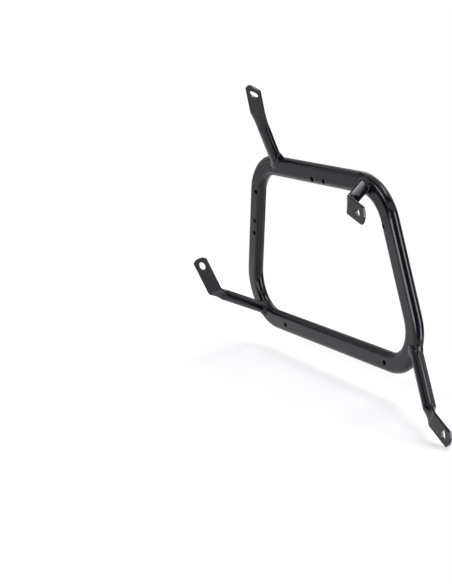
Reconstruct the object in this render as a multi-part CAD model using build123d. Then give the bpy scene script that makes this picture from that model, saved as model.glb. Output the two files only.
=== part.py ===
"""Pannier frame for one side of a motorbike: a flat-oval tube hoop with four welded mounting arms.

Frame: millimetres, +X towards the rear along the top rail, +Y outboard, +Z up.
Origin: middle of the hoop, on its mid-plane, half way between the top and bottom rails.
"""
import os
from math import cos, pi, radians, sin, tan

from build123d import *

# Hoop tube: a round tube rolled to a flat oval
HOOP_FACE = 26.0
HOOP_THICK = 14.5
HOOP_WALL = 1.5

# Hoop outline, measured on the tube centreline at its sharp corners
HOOP_HEIGHT = 213.8
TOP_WIDTH = 279.6
FRONT_LEAN = 14.8
REAR_LEAN = 15.8
BOTTOM_TILT = 0.58
BEND_RADIUS = 52.0

# Accessory holes through both faces of the hoop
HOLE_DIA = 6.5
FRONT_HOLE_HEIGHTS = (67.9, 26.8, 9.4)
FRONT_HOLE_INSET = 4.6
TOP_HOLE_STATIONS = (0.0, 25.9)
TOP_HOLE_INSET = 5.8
REAR_HOLE_HEIGHT = 62.6
REAR_HOLE_INSET = 6.6
BOTTOM_HOLE_STATIONS = (-99.2, 128.0)

# Arm tube, pressed flat at its end and folded into a tab
ARM_DIA = 15.0
ARM_WALL = 1.5
PRESS_LENGTH = 15.0
SHUT_LENGTH = 4.0
SHUT_GAP = 0.4
FOLD_RADIUS = 5.0
TURN_RADIUS = 22.0
TAB_CROWN = 4.6
TAB_CORNER = 3.0
SKEW_CORNER = 6.5

# Top front arm: foot behind the front corner of the top rail, long press, tab narrowed and cut off at a slant
TOP_FRONT_STATION = 47.5
TOP_FRONT_RAISE = 3.1
TOP_FRONT_SPAN = (47.8, -49.0, 76.5)
TOP_FRONT_ROLL = -12.9
TOP_FRONT_PRESS = 28.0
TOP_FRONT_FOLD = 13.8
TOP_FRONT_WIDTH = 20.2
TOP_FRONT_REACH = 38.5
TOP_FRONT_SLANT = 27.0
TOP_FRONT_SLOT_AT = 27.5
TOP_FRONT_SLOT_LONG = 12.0
TOP_FRONT_SLOT_WIDE = 8.4

# Top rear arm: foot ahead of the rear corner of the top rail, tab parallel to the hoop
TOP_REAR_STATION = 31.9
TOP_REAR_SPAN = (40.5, -53.6, -10.0)
TOP_REAR_ROLL = -100.9
TOP_REAR_FOLD = 46.9
TOP_REAR_REACH = 37.2
TOP_REAR_HOLE_AT = 24.1
TOP_REAR_HOLE_DIA = 9.0

# Bottom front arm: foot on the bend, tab standing up
BOTTOM_FRONT_ANGLE = -125.2
BOTTOM_FRONT_RAISE = 2.0
BOTTOM_FRONT_SPAN = (27.8, -89.8, 50.5)
BOTTOM_FRONT_ROLL = 24.7
BOTTOM_FRONT_FOLD = 55.0
BOTTOM_FRONT_REACH = 48.9
BOTTOM_FRONT_HOLE_AT = 37.8
BOTTOM_FRONT_HOLE_DIA = 11.0

# Bottom rear arm: foot on the bend, tab turned a little in its own plane, upright slot
BOTTOM_REAR_ANGLE = -23.9
BOTTOM_REAR_RAISE = 4.1
BOTTOM_REAR_SPAN = (81.6, -42.6, -51.2)
BOTTOM_REAR_ROLL = -102.9
BOTTOM_REAR_FOLD = 19.0
BOTTOM_REAR_TURN = 7.4
BOTTOM_REAR_REACH = 37.6
BOTTOM_REAR_SLOT_AT = 25.0
BOTTOM_REAR_SLOT_LONG = 12.0
BOTTOM_REAR_SLOT_WIDE = 7.6
BOTTOM_REAR_SLOT_SLANT = 24.0

# Weld run round each arm foot: its legs on both tubes, the rise of its crown, its ripples and its root
WELD_LEG = 3.6
WELD_CROWN = 0.6
WELD_DIP = 0.45
WELD_PITCH = 2.2
WELD_ROOT = 1.0

# Sizes that follow from the ones above
TAB_THICK = 2 * ARM_WALL
TAB_WIDTH = pi / 2 * (ARM_DIA - ARM_WALL) + ARM_WALL
TAB_RIM_ARC = pi / 2 * TAB_THICK
RIM_ANGLE = pi / 2 * TAB_RIM_ARC / (TAB_RIM_ARC + TAB_WIDTH - TAB_THICK)
BORE_RADIUS = ARM_DIA / 2 - ARM_WALL
HALF_FLAT = (HOOP_FACE - HOOP_THICK) / 2
HALF_HEIGHT = HOOP_HEIGHT / 2
HALF_TOP = TOP_WIDTH / 2
FRONT_SLOPE = tan(radians(FRONT_LEAN))
REAR_SLOPE = tan(radians(REAR_LEAN))
BOTTOM_SLOPE = tan(radians(BOTTOM_TILT))

# Lines along an arm tube by which its seam with the hoop is traced
SEAM_LINES = 48


def front_x(height):
    """Front rail centreline position at a height."""
    return -HALF_TOP - (HALF_HEIGHT - height) * FRONT_SLOPE


def rear_x(height):
    """Rear rail centreline position at a height."""
    return HALF_TOP + (HALF_HEIGHT - height) * REAR_SLOPE


def bottom_z(station):
    """Bottom rail centreline height at a station along X."""
    return -HALF_HEIGHT + station * BOTTOM_SLOPE


def hoop_path():
    """Closed centreline of the hoop, with the same bend at each corner."""
    low_front = front_x(-HALF_HEIGHT) / (1 - FRONT_SLOPE * BOTTOM_SLOPE)
    low_rear = rear_x(-HALF_HEIGHT) / (1 + REAR_SLOPE * BOTTOM_SLOPE)
    corners = [
        (-HALF_TOP, HALF_HEIGHT),
        (HALF_TOP, HALF_HEIGHT),
        (low_rear, bottom_z(low_rear)),
        (low_front, bottom_z(low_front)),
    ]
    outline = make_face(Polyline(*corners, close=True))
    outline = fillet(outline.vertices(), BEND_RADIUS)
    return (Plane.XZ * outline).face().outer_wire()


def hoop_solid(path, shrink):
    """Solid swept along the hoop centreline, its flat-oval section taken in by shrink all round."""
    start = path.position_at(0)
    along = path.tangent_at(0)
    station = Plane(origin=start, x_dir=Vector(0, 1, 0).cross(along), z_dir=along)
    section = station * SlotOverall(HOOP_FACE - 2 * shrink, HOOP_THICK - 2 * shrink)
    return sweep(section, path=path)


def hole_centres():
    """Accessory hole positions in the hoop plane, as X and Z."""
    front_step = FRONT_HOLE_INSET / cos(radians(FRONT_LEAN))
    rear_step = REAR_HOLE_INSET / cos(radians(REAR_LEAN))
    centres = []
    for height in FRONT_HOLE_HEIGHTS:
        centres.append((front_x(height) + front_step, height))
    for station in TOP_HOLE_STATIONS:
        centres.append((station, HALF_HEIGHT - TOP_HOLE_INSET))
    centres.append((rear_x(REAR_HOLE_HEIGHT) - rear_step, REAR_HOLE_HEIGHT))
    for station in BOTTOM_HOLE_STATIONS:
        centres.append((station, bottom_z(station)))
    return centres


def bend_point(bend, angle, raise_by):
    """Point outside the centreline of a hoop bend, at an angle in the hoop plane from +X towards +Z."""
    reach = BEND_RADIUS + raise_by
    return bend.arc_center + Vector(reach * cos(radians(angle)), 0, reach * sin(radians(angle)))


def flat_face(width, thick):
    """Pressed-flat section: two straight faces and two round rims."""
    half = (width - thick) / 2
    rim = thick / 2
    return make_face([
        Line((half, rim), (-half, rim)),
        ThreePointArc((-half, rim), (-half - rim, 0), (-half, -rim)),
        Line((-half, -rim), (half, -rim)),
        ThreePointArc((half, -rim), (half + rim, 0), (half, rim)),
    ]).face()


def round_face(radius):
    """Round section, divided where the pressed-flat section has its rims."""
    side = radius * cos(RIM_ANGLE)
    rise = radius * sin(RIM_ANGLE)
    return make_face([
        ThreePointArc((side, rise), (0, radius), (-side, rise)),
        ThreePointArc((-side, rise), (-radius, 0), (-side, -rise)),
        ThreePointArc((-side, -rise), (0, -radius), (side, -rise)),
        ThreePointArc((side, -rise), (radius, 0), (side, rise)),
    ]).face()


def crowned_tab(reach):
    """Tab outline with a crowned end, its length along Y."""
    half = TAB_WIDTH / 2
    shoulder = reach - TAB_CROWN
    outline = make_face([
        Line((-half, 0), (half, 0)),
        Line((half, 0), (half, shoulder)),
        ThreePointArc((half, shoulder), (0, reach), (-half, shoulder)),
        Line((-half, shoulder), (-half, 0)),
    ])
    return fillet(outline.vertices().group_by(Axis.Y)[-1], TAB_CORNER)


def slanted_tab(width, reach, slant):
    """Tab outline cut off at an angle, longer on its -X side, with rounded corners."""
    half = width / 2
    drop = half * tan(radians(slant))
    corners = [(-half, 0), (half, 0), (half, reach - drop), (-half, reach + drop)]
    outline = make_face(Polyline(*corners, close=True))
    return fillet(outline.vertices().sort_by(Axis.Y)[-2:], SKEW_CORNER)


def pressed_arm(foot, span, roll, press_by, fold, turn, outline, opening):
    """Arm tube from its foot inside the hoop to the knee, pressed flat there and folded into a tab.

    span runs from the foot to the knee. roll turns the tab's width about the tube, from level. press_by is
    the length over which the tube goes flat. fold is the bend at the knee and turn the sideways sweep of the
    tab in its own plane. outline and opening are drawn on the tab, with Y measured from the knee. Returns the
    arm as a full body and its bore.
    """
    axis = span.normalized()
    across = Vector(0, 0, 1).cross(axis).normalized().rotate(Axis((0, 0, 0), axis), roll)
    setback = FOLD_RADIUS * tan(radians(fold) / 2)
    length = span.length - setback
    frame = Plane(origin=foot + axis * length, x_dir=across, z_dir=axis)
    width = outline.bounding_box().size.X
    strip = flat_face(width, TAB_THICK)

    tube = Pos(0, 0, -length) * extrude(Circle(ARM_DIA / 2), length - press_by)
    press = loft([Pos(0, 0, -press_by) * round_face(ARM_DIA / 2), strip])
    knee = revolve(strip, Axis((0, FOLD_RADIUS, 0), (-1, 0, 0)), fold)
    lift = FOLD_RADIUS * (1 - cos(radians(fold)))
    run = FOLD_RADIUS * sin(radians(fold))
    rise = Vector(0, sin(radians(fold)), cos(radians(fold)))
    tab = Location(Plane(origin=(0, lift, run), x_dir=(1, 0, 0), z_dir=Vector(1, 0, 0).cross(rise)))
    body = tube + press + knee

    end_on = Plane(origin=(0, 0, 0), x_dir=(1, 0, 0), z_dir=(0, 1, 0)) * strip
    if turn:
        body += tab * revolve(end_on, Axis((-TURN_RADIUS, 0, 0), (0, 0, 1)), turn)
        tab = tab * Pos(-TURN_RADIUS, 0, 0) * Rot(0, 0, turn) * Pos(TURN_RADIUS, 0, 0)
        setback += TURN_RADIUS * radians(turn)
    blade = extrude(end_on, outline.bounding_box().max.Y)
    blade &= Pos(0, -setback, 0) * extrude(outline, TAB_THICK, both=True)
    blade -= Pos(0, -setback, 0) * extrude(opening, TAB_THICK, both=True)
    body += tab * blade

    slit = flat_face(width - 2 * TAB_THICK, SHUT_GAP)
    bore = Pos(0, 0, -length) * extrude(Circle(BORE_RADIUS), length - press_by)
    bore += loft([Pos(0, 0, -press_by) * round_face(BORE_RADIUS), Pos(0, 0, -SHUT_LENGTH) * slit])
    return frame * body, frame * bore


def seam_line(foot, axis):
    """Closed curve along which the outside of an arm tube leaves the hoop."""
    side = Plane(origin=foot - axis * HOOP_FACE, z_dir=axis)
    spots = []
    for step in range(SEAM_LINES):
        turn = 2 * pi * step / SEAM_LINES
        start = side.from_local_coords(Vector(ARM_DIA / 2 * cos(turn), ARM_DIA / 2 * sin(turn), 0))
        inside = Edge.make_line(start, start + axis * 2 * HOOP_FACE) & hoop_body
        ends = [edge.position_at(end) for edge in inside.edges() for end in (0, 1)]
        spots.append(max(ends, key=axis.dot))
    return Spline(*spots, periodic=True)


def hoop_normal(spot):
    """Outward direction of the hoop's surface at a point on it."""
    level = Vector(spot.X, 0, spot.Z)
    aside = level - path.closest_points(Vertex(level))[0]
    bulge = aside.normalized() * max(aside.length - HALF_FLAT, 0)
    return (bulge + Vector(0, spot.Y, 0)).normalized()


def weld_section(spot, foot, axis, dip):
    """Four corners of the weld run at a point of its seam: root, hoop toe, crown and arm toe."""
    hoop_out = hoop_normal(spot)
    reach = spot - foot
    arm_out = (reach - axis * axis.dot(reach)).normalized()
    along_hoop = (arm_out - hoop_out * arm_out.dot(hoop_out)).normalized()
    along_arm = (hoop_out - arm_out * arm_out.dot(hoop_out)).normalized()
    middle = (along_hoop + along_arm) * (WELD_LEG / 2)
    outward = middle.normalized()
    return (
        spot - outward * WELD_LEG,
        spot + along_hoop * WELD_LEG - hoop_out * WELD_ROOT,
        spot + middle + outward * (WELD_CROWN - dip),
        spot + along_arm * WELD_LEG - arm_out * WELD_ROOT,
    )


def weld_run(foot, axis):
    """Rippled ring of flat facets round an arm foot, rooted in the hoop and in the arm."""
    seam = seam_line(foot, axis)
    ripples = round(seam.length / WELD_PITCH / 2)
    sections = []
    for step in range(2 * ripples):
        dip = WELD_DIP * (step % 2)
        sections.append(weld_section(seam.position_at(step / ripples / 2), foot, axis, dip))
    facets = []
    for here, ahead in zip(sections, sections[1:] + sections[:1]):
        for corner in range(len(here)):
            beside = corner - 1
            facets.append(Face(Wire.make_polygon([here[beside], here[corner], ahead[corner]])))
            facets.append(Face(Wire.make_polygon([here[beside], ahead[corner], ahead[beside]])))
    return Solid(Shell(facets))


path = hoop_path()
hoop_body = hoop_solid(path, 0)
hoop = hoop_body - hoop_solid(path, HOOP_WALL)
for station, height in hole_centres():
    hoop -= Pos(station, 0, height) * Rot(90, 0, 0) * Cylinder(HOLE_DIA / 2, 2 * HOOP_THICK)

low_front_bend, low_rear_bend = path.edges().filter_by(GeomType.CIRCLE).sort_by(Axis.Z)[:2].sort_by(Axis.X)
top_front_slot = SlotOverall(TOP_FRONT_SLOT_LONG, TOP_FRONT_SLOT_WIDE)
bottom_rear_slot = SlotOverall(BOTTOM_REAR_SLOT_LONG, BOTTOM_REAR_SLOT_WIDE)

# Each arm: foot, span, roll, press, fold, turn, tab outline and tab opening
arms = {
    "top_front": (
        Vector(TOP_FRONT_STATION - HALF_TOP, 0, HALF_HEIGHT + TOP_FRONT_RAISE),
        Vector(*TOP_FRONT_SPAN), TOP_FRONT_ROLL, TOP_FRONT_PRESS, TOP_FRONT_FOLD, 0,
        slanted_tab(TOP_FRONT_WIDTH, TOP_FRONT_REACH, TOP_FRONT_SLANT),
        Pos(0, TOP_FRONT_SLOT_AT) * Rot(0, 0, -TOP_FRONT_SLANT) * top_front_slot,
    ),
    "top_rear": (
        Vector(HALF_TOP - TOP_REAR_STATION, 0, HALF_HEIGHT),
        Vector(*TOP_REAR_SPAN), TOP_REAR_ROLL, PRESS_LENGTH, TOP_REAR_FOLD, 0,
        crowned_tab(TOP_REAR_REACH),
        Pos(0, TOP_REAR_HOLE_AT) * Circle(TOP_REAR_HOLE_DIA / 2),
    ),
    "bottom_front": (
        bend_point(low_front_bend, BOTTOM_FRONT_ANGLE, BOTTOM_FRONT_RAISE),
        Vector(*BOTTOM_FRONT_SPAN), BOTTOM_FRONT_ROLL, PRESS_LENGTH, BOTTOM_FRONT_FOLD, 0,
        crowned_tab(BOTTOM_FRONT_REACH),
        Pos(0, BOTTOM_FRONT_HOLE_AT) * Circle(BOTTOM_FRONT_HOLE_DIA / 2),
    ),
    "bottom_rear": (
        bend_point(low_rear_bend, BOTTOM_REAR_ANGLE, BOTTOM_REAR_RAISE),
        Vector(*BOTTOM_REAR_SPAN), BOTTOM_REAR_ROLL, PRESS_LENGTH, BOTTOM_REAR_FOLD, BOTTOM_REAR_TURN,
        crowned_tab(BOTTOM_REAR_REACH),
        Pos(0, BOTTOM_REAR_SLOT_AT) * Rot(0, 0, BOTTOM_REAR_SLOT_SLANT) * bottom_rear_slot,
    ),
}

os.makedirs("parts", exist_ok=True)
export_step(hoop, "parts/hoop.step")
for name, layout in arms.items():
    foot, span = layout[:2]
    body, bore = pressed_arm(*layout)
    weld = weld_run(foot, span.normalized()) - hoop_body - body
    export_step((body - bore - hoop_body).solid(), "parts/arm_" + name + ".step")
    export_step(weld.solid(), "parts/weld_" + name + ".step")
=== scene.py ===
"""Looks of the pannier frame: gloss black paint, smooth welds, a white studio and the photo's camera."""

from math import cos, pi

import bpy
from mathutils import Matrix, Vector
from mathutils.bvhtree import BVHTree


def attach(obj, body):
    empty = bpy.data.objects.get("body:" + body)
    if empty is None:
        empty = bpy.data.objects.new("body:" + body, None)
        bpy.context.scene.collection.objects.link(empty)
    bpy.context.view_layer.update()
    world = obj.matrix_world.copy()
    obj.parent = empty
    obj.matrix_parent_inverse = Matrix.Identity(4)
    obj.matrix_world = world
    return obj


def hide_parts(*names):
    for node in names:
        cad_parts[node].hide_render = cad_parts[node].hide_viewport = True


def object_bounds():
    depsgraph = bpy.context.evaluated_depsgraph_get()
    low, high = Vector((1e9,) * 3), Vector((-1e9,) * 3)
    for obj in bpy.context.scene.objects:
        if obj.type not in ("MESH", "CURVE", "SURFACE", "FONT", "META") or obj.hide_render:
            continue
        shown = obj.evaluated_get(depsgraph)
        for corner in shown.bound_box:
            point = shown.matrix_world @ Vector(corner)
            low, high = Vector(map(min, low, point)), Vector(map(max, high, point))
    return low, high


# Camera: place and the three directions of its own axes
CAMERA_PLACE = (1.2971, -0.7972, 0.3833)
CAMERA_RIGHT = (0.4739, 0.8746, -0.1028)
CAMERA_UP = (-0.1856, 0.2133, 0.9592)
CAMERA_BACK = (0.8608, -0.4355, 0.2634)
LENS_MM = 77.1
SENSOR_MM = 36.0

# Paint: its two tones, its range of roughness and its refractive index
PAINT_DARK = (0.004, 0.0035, 0.007, 1)
PAINT_PALE = (0.007, 0.0065, 0.011, 1)
PAINT_ROUGH_LOW = 0.07
PAINT_ROUGH_HIGH = 0.13
PAINT_INDEX = 1.39

# Scale and detail of the noise in the paint's tone, in its gloss and in its orange peel
TONE_NOISE = (60, 3)
GLOSS_NOISE = (140, 4)
PEEL_NOISE = (420, 2)

# Strength of the orange peel, its depth in metres, and the radius in metres over which paint rounds edges
PAINT_PEEL = 0.04
WELD_PEEL = 0.15
PEEL_DEPTH = 0.0004
PAINT_ROUNDING = 0.0009
WELD_ROUNDING = 0.0005

# Each arm: its foot in metres, its direction, and how far in metres a web of weld climbs its web side
ARM_RADIUS = 0.0075
ARM_FEET = {
    "top_front": ((-0.0923, 0.0, 0.1100), (47.8, -49.0, 76.5), 0.0065),
    "top_rear": ((0.1079, 0.0, 0.1069), (40.5, -53.6, -10.0), 0.0),
    "bottom_front": ((-0.1602, 0.0, -0.1003), (27.8, -89.8, 50.5), 0.0),
    "bottom_rear": ((0.1825, 0.0, -0.0763), (81.6, -42.6, -51.2), 0.0),
}
WEB_SIDE = Vector((0.50, 0.86, -0.10))

# Distance up an arm, in metres, from which its seam is searched
RAY_LENGTH = 0.060

# Weld runs: points round the seam and steps across a run, then its legs, toes, root and ripples in metres
WELD_STATIONS = 160
WELD_STEPS = 6
WELD_ON_HOOP = 0.0042
WELD_ON_ARM = 0.0058
WELD_SINK = 0.0003
WELD_ROOT = 0.0012
WELD_CROWN = 0.0002
WELD_RIPPLE = 0.00015
WELD_PITCH = 0.0034

# How far the middle of a ripple is ahead of its ends, in radians
WELD_SWEEP = 1.6

# Sine of the angle between the tubes' surfaces below which a run narrows
WELD_FLUSH = 0.5

# Room that lights the object besides the lamps
ROOM_COLOUR = (0.9, 0.95, 1.0, 1)
ROOM_STRENGTH = 0.06

# Floor, in metres, and the light seen from it besides the lamps' own, which grows away from the camera
FLOOR_CORNERS = ((-0.62, -0.9), (0.31, 0.15))
FLOOR_GAP = 0.0005
FLOOR_COLOUR = (0.80, 0.80, 0.82, 1)
FLOOR_AWAY = (-0.892, 0.452, 0.0)
FLOOR_NEAR = -0.5
FLOOR_FAR = 0.9
GLOW_NEAR = 0.28
GLOW_FAR = 0.48

# Cards round the object
CARD_BLACK = (0.02, 0.02, 0.02, 1)
CARD_GREY = (0.80, 0.80, 0.82, 1)
CARD_GLOW = 0.2


def node_of(tree, kind, **inputs):
    """New shader node with some of its input sockets set by name."""
    node = tree.nodes.new(kind)
    for name, value in inputs.items():
        node.inputs[name.replace("_", " ")].default_value = value
    return node


def noise(tree, coords, scale, detail):
    """Noise pattern in the part's own coordinates."""
    pattern = node_of(tree, "ShaderNodeTexNoise", Scale=scale, Detail=detail)
    tree.links.new(coords.outputs["Object"], pattern.inputs["Vector"])
    return pattern.outputs["Fac"]


def ranged(tree, value, low, high):
    """A pattern from 0 to 1 mapped to a range."""
    node = node_of(tree, "ShaderNodeMapRange", To_Min=low, To_Max=high)
    tree.links.new(value, node.inputs["Value"])
    return node.outputs["Result"]


def paint_material(name, peel_strength, rounding):
    """Gloss black paint with rounded edges, faint orange peel, uneven gloss and uneven tone."""
    material = bpy.data.materials.new(name)
    material.use_nodes = True
    tree = material.node_tree
    shader = tree.nodes["Principled BSDF"]
    coords = tree.nodes.new("ShaderNodeTexCoord")

    tone = node_of(tree, "ShaderNodeValToRGB")
    tone.color_ramp.elements[0].color = PAINT_DARK
    tone.color_ramp.elements[1].color = PAINT_PALE
    tree.links.new(noise(tree, coords, *TONE_NOISE), tone.inputs["Fac"])
    tree.links.new(tone.outputs["Color"], shader.inputs["Base Color"])

    gloss = ranged(tree, noise(tree, coords, *GLOSS_NOISE), PAINT_ROUGH_LOW, PAINT_ROUGH_HIGH)
    tree.links.new(gloss, shader.inputs["Roughness"])

    edges = node_of(tree, "ShaderNodeBevel", Radius=rounding)
    peel = node_of(tree, "ShaderNodeBump", Strength=peel_strength, Distance=PEEL_DEPTH)
    tree.links.new(noise(tree, coords, *PEEL_NOISE), peel.inputs["Height"])
    tree.links.new(edges.outputs["Normal"], peel.inputs["Normal"])
    tree.links.new(peel.outputs["Normal"], shader.inputs["Normal"])
    shader.inputs["IOR"].default_value = PAINT_INDEX
    return material


def area_light(name, place, aim, width, height, radiance):
    """Rectangular softbox facing a point, unseen by the camera."""
    light = bpy.data.lights.new(name, "AREA")
    light.shape = "RECTANGLE"
    light.size = width
    light.size_y = height
    light.energy = radiance * pi * width * height
    lamp = bpy.data.objects.new(name, light)
    lamp.location = place
    lamp.rotation_mode = "QUATERNION"
    lamp.rotation_quaternion = (Vector(aim) - Vector(place)).to_track_quat("-Z", "Y")
    lamp.visible_camera = False
    bpy.context.scene.collection.objects.link(lamp)
    return lamp


def card(name, place, aim, width, height, material):
    """Matt card facing a point, unseen by the camera, that gloss paint mirrors."""
    mesh = bpy.data.meshes.new(name)
    mesh.from_pydata(
        [(x * width / 2, y * height / 2, 0) for x, y in ((-1, -1), (1, -1), (1, 1), (-1, 1))],
        [],
        [(0, 1, 2, 3)],
    )
    mesh.materials.append(material)
    sheet = bpy.data.objects.new(name, mesh)
    sheet.location = place
    sheet.rotation_mode = "QUATERNION"
    sheet.rotation_quaternion = (Vector(aim) - Vector(place)).to_track_quat("Z", "Y")
    sheet.visible_camera = False
    bpy.context.scene.collection.objects.link(sheet)
    return sheet


def white_when_seen(tree, shown, hidden):
    """Mix of two shaders: one for what is seen straight, mirrored or through glass, one to give light."""
    path = tree.nodes.new("ShaderNodeLightPath")
    seen = path.outputs["Is Camera Ray"]
    for ray in ("Is Glossy Ray", "Is Transmission Ray"):
        either = tree.nodes.new("ShaderNodeMath")
        either.operation = "ADD"
        either.use_clamp = True
        tree.links.new(seen, either.inputs[0])
        tree.links.new(path.outputs[ray], either.inputs[1])
        seen = either.outputs["Value"]
    mix = tree.nodes.new("ShaderNodeMixShader")
    tree.links.new(seen, mix.inputs["Fac"])
    tree.links.new(hidden, mix.inputs[1])
    tree.links.new(shown, mix.inputs[2])
    return mix.outputs["Shader"]


def floor_material():
    """Pale floor that is seen as white, with the shadow kept."""
    material = bpy.data.materials.new("floor_white")
    material.use_nodes = True
    tree = material.node_tree
    tree.nodes.remove(tree.nodes["Principled BSDF"])
    matt = node_of(tree, "ShaderNodeBsdfDiffuse", Color=FLOOR_COLOUR)
    coords = tree.nodes.new("ShaderNodeTexCoord")
    away = tree.nodes.new("ShaderNodeVectorMath")
    away.operation = "DOT_PRODUCT"
    away.inputs[1].default_value = FLOOR_AWAY
    tree.links.new(coords.outputs["Object"], away.inputs[0])
    rise = node_of(tree, "ShaderNodeMapRange", From_Min=FLOOR_NEAR, From_Max=FLOOR_FAR)
    rise.inputs["To Min"].default_value = GLOW_NEAR
    rise.inputs["To Max"].default_value = GLOW_FAR
    tree.links.new(away.outputs["Value"], rise.inputs["Value"])
    glow = tree.nodes.new("ShaderNodeEmission")
    tree.links.new(rise.outputs["Result"], glow.inputs["Strength"])
    both = tree.nodes.new("ShaderNodeAddShader")
    tree.links.new(matt.outputs["BSDF"], both.inputs[0])
    tree.links.new(glow.outputs["Emission"], both.inputs[1])
    surface = white_when_seen(tree, both.outputs["Shader"], matt.outputs["BSDF"])
    tree.links.new(surface, tree.nodes["Material Output"].inputs["Surface"])
    return material


def card_material(name, colour, glow):
    """Matt cloth of a card, with some light of its own."""
    material = bpy.data.materials.new(name)
    material.use_nodes = True
    tree = material.node_tree
    tree.nodes.remove(tree.nodes["Principled BSDF"])
    matt = node_of(tree, "ShaderNodeBsdfDiffuse", Color=colour)
    light = node_of(tree, "ShaderNodeEmission", Strength=glow)
    both = tree.nodes.new("ShaderNodeAddShader")
    tree.links.new(matt.outputs["BSDF"], both.inputs[0])
    tree.links.new(light.outputs["Emission"], both.inputs[1])
    tree.links.new(both.outputs["Shader"], tree.nodes["Material Output"].inputs["Surface"])
    return material


def studio_world():
    """White where it is seen, a dim room as a light."""
    world = bpy.data.worlds.new("studio")
    world.use_nodes = True
    bpy.context.scene.world = world
    tree = world.node_tree
    white = node_of(tree, "ShaderNodeBackground", Color=(1, 1, 1, 1), Strength=1.0)
    room = tree.nodes["Background"]
    room.inputs["Color"].default_value = ROOM_COLOUR
    room.inputs["Strength"].default_value = ROOM_STRENGTH
    surface = white_when_seen(tree, white.outputs["Background"], room.outputs["Background"])
    tree.links.new(surface, tree.nodes["World Output"].inputs["Surface"])


def seam_points(hoop_tree, foot, axis):
    """Points where an arm's outside meets the hoop, each with the directions out of both tubes."""
    side = axis.orthogonal().normalized()
    points = []
    for step in range(WELD_STATIONS):
        arm_out = Matrix.Rotation(2 * pi * step / WELD_STATIONS, 3, axis) @ side
        start = foot + arm_out * ARM_RADIUS + axis * RAY_LENGTH
        spot, hoop_out, _, _ = hoop_tree.ray_cast(start, -axis)
        points.append((spot, hoop_out, arm_out))
    return points


def weld_section(hoop_tree, axis, web, spot, hoop_out, arm_out, phase):
    """Corners across a weld run: from its toe on the hoop to its toe on the arm, then its root."""
    along_hoop = arm_out - hoop_out * arm_out.dot(hoop_out)
    reach = WELD_ON_HOOP * min(along_hoop.length / WELD_FLUSH, 1)
    outward = (hoop_out + arm_out).normalized()
    surface, surface_out, _, _ = hoop_tree.find_nearest(spot + along_hoop.normalized() * reach)
    hoop_toe = surface - surface_out * WELD_SINK
    climb = WELD_ON_ARM + web * max(arm_out.dot(WEB_SIDE), 0) ** 2
    arm_toe = spot + axis * climb - arm_out * WELD_SINK
    corners = []
    for step in range(WELD_STEPS + 1):
        share = step / WELD_STEPS
        arch = 4 * share * (1 - share)
        rise = arch * (WELD_CROWN + WELD_RIPPLE * cos(phase + WELD_SWEEP * arch))
        corners.append(hoop_toe.lerp(arm_toe, share) + outward * rise)
    corners.append(spot - outward * WELD_ROOT)
    return corners


def weld_piece(name, hoop_tree, foot, axis, web, material):
    """Smooth rippled fillet round an arm's foot, in place of the faceted run."""
    seam = seam_points(hoop_tree, foot, axis)
    spots = [point[0] for point in seam]
    lengths = [(ahead - here).length for here, ahead in zip(spots, spots[1:] + spots[:1])]
    ripples = round(sum(lengths) / WELD_PITCH)
    verts = []
    for step, point in enumerate(seam):
        phase = 2 * pi * ripples * sum(lengths[:step]) / sum(lengths)
        verts.extend(weld_section(hoop_tree, axis, web, *point, phase))
    ring = WELD_STEPS + 2
    faces = []
    for step in range(WELD_STATIONS):
        here = step * ring
        ahead = (step + 1) % WELD_STATIONS * ring
        for corner in range(ring):
            beside = (corner + 1) % ring
            faces.append((here + corner, ahead + corner, ahead + beside, here + beside))
    mesh = bpy.data.meshes.new(name)
    mesh.from_pydata(verts, [], faces)
    mesh.polygons.foreach_set("use_smooth", [True] * len(faces))
    mesh.materials.append(material)
    piece = bpy.data.objects.new(name, mesh)
    bpy.context.scene.collection.objects.link(piece)
    return piece


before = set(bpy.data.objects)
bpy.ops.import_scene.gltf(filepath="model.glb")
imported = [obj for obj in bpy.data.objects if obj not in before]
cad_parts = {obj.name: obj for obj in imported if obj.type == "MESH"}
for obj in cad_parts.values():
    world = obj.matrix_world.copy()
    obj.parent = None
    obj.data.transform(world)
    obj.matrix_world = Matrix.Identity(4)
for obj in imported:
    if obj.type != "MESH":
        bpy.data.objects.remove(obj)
loaded_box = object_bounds()

# Paint on every node
paint = paint_material("gloss_black_paint_look", PAINT_PEEL, PAINT_ROUNDING)
weld_paint = paint_material("painted_weld_look", WELD_PEEL, WELD_ROUNDING)
for name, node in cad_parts.items():
    node.data.materials.clear()
    node.data.materials.append(weld_paint if name.startswith("weld") else paint)

# Smooth weld runs in place of the faceted ones
hoop_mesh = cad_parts["hoop"].data
hoop_tree = BVHTree.FromPolygons(
    [corner.co for corner in hoop_mesh.vertices],
    [tuple(face.vertices) for face in hoop_mesh.polygons],
)
for arm, (foot, span, web) in ARM_FEET.items():
    axis = Vector(span).normalized()
    piece = weld_piece("weld_run_" + arm, hoop_tree, Vector(foot), axis, web, weld_paint)
    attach(piece, "root")
    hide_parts("weld_" + arm)

# Studio
studio_world()
floor_level = loaded_box[0].z - FLOOR_GAP
(near_x, near_y), (far_x, far_y) = FLOOR_CORNERS
floor_mesh = bpy.data.meshes.new("floor")
floor_mesh.from_pydata(
    [
        (near_x, near_y, floor_level),
        (far_x, near_y, floor_level),
        (far_x, far_y, floor_level),
        (near_x, far_y, floor_level),
    ],
    [],
    [(0, 1, 2, 3)],
)
floor_mesh.materials.append(floor_material())
floor = bpy.data.objects.new("floor", floor_mesh)
bpy.context.scene.collection.objects.link(floor)

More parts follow.
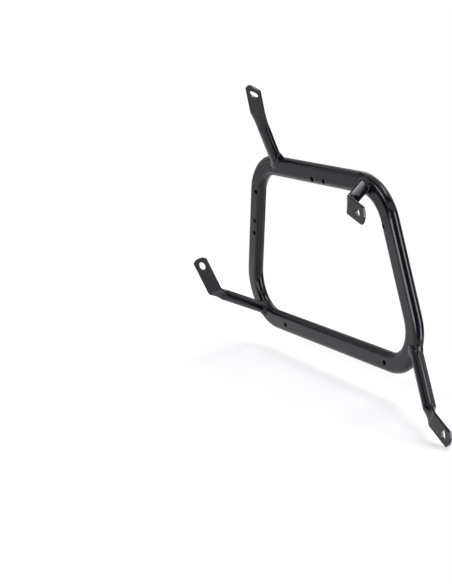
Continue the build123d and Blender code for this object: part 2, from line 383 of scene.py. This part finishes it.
# Each lamp: place, aim, width, height and radiance in watts per square metre and steradian
lamps = [
    area_light("key_strip", (0.55, -1.55, -0.20), (0.0, 0.0, -0.2), 0.90, 1.70, 6.5),
    area_light("key_top", (0.08, -1.24, 1.17), (0.0, 0.0, 0.1), 0.80, 0.60, 5.0),
    area_light("side_strip", (1.56, 0.69, -0.13), (0.0, 0.0, -0.2), 0.80, 1.95, 6.5),
    area_light("side_top", (0.40, 0.55, 1.45), (0.1, 0.0, 0.1), 0.70, 0.40, 6.0),
    area_light("top_bank", (-0.3, 0.5, 1.5), (-0.2, 0.1, 0.0), 2.4, 2.2, 0.8),
    area_light("left_wall", (-1.8, -0.5, 0.8), (0.0, 0.0, 0.0), 2.0, 1.4, 0.5),
    area_light("back_wall", (-0.75, 1.75, 0.65), (-0.1, 0.0, 0.1), 1.9, 1.2, 0.8),
    area_light("high_wall", (-1.08, 1.06, 1.14), (0.1, 0.0, 0.1), 1.2, 0.4, 1.2),
    area_light("low_card", (0.20, 1.75, -0.08), (-0.15, -0.05, -0.07), 0.60, 0.40, 0.9),
]

# Each card: place, aim, width, height and cloth
black = card_material("card_black", CARD_BLACK, 0.0)
grey = card_material("card_grey", CARD_GREY, CARD_GLOW)
cards = [
    card("card_back", (0.70, 2.20, 0.20), (0.70, 0.0, 0.20), 5.0, 2.4, black),
    card("card_camera", (2.50, -0.95, 0.00), (0.0, 0.0, 0.0), 3.6, 3.6, black),
    card("card_front", (-0.90, -2.20, 0.70), (-0.90, 0.0, 0.70), 2.6, 1.6, black),
    card("card_header", (-2.10, 1.25, 0.75), (0.0, 0.0, 0.1), 1.5, 0.5, black),
    card("card_left", (-2.30, -0.60, 1.00), (0.0, 0.0, 0.1), 3.0, 1.9, black),
    card("card_top", (-0.3, 0.5, 2.0), (-0.3, 0.5, 0.0), 4.0, 4.0, black),
    card("card_ground", (-1.82, -0.80, -0.16), (-1.82, -0.80, 1.0), 2.4, 2.8, grey),
]

# Camera
camera_data = bpy.data.cameras.new("camera")
camera_data.lens = LENS_MM
camera_data.sensor_width = SENSOR_MM
camera_data.dof.use_dof = False
camera = bpy.data.objects.new("camera", camera_data)
axes = Matrix((CAMERA_RIGHT, CAMERA_UP, CAMERA_BACK)).transposed()
camera.rotation_mode = "QUATERNION"
camera.rotation_quaternion = axes.to_quaternion()
camera.location = CAMERA_PLACE
bpy.context.scene.collection.objects.link(camera)
bpy.context.scene.camera = camera
bpy.context.scene.view_settings.view_transform = "Standard"
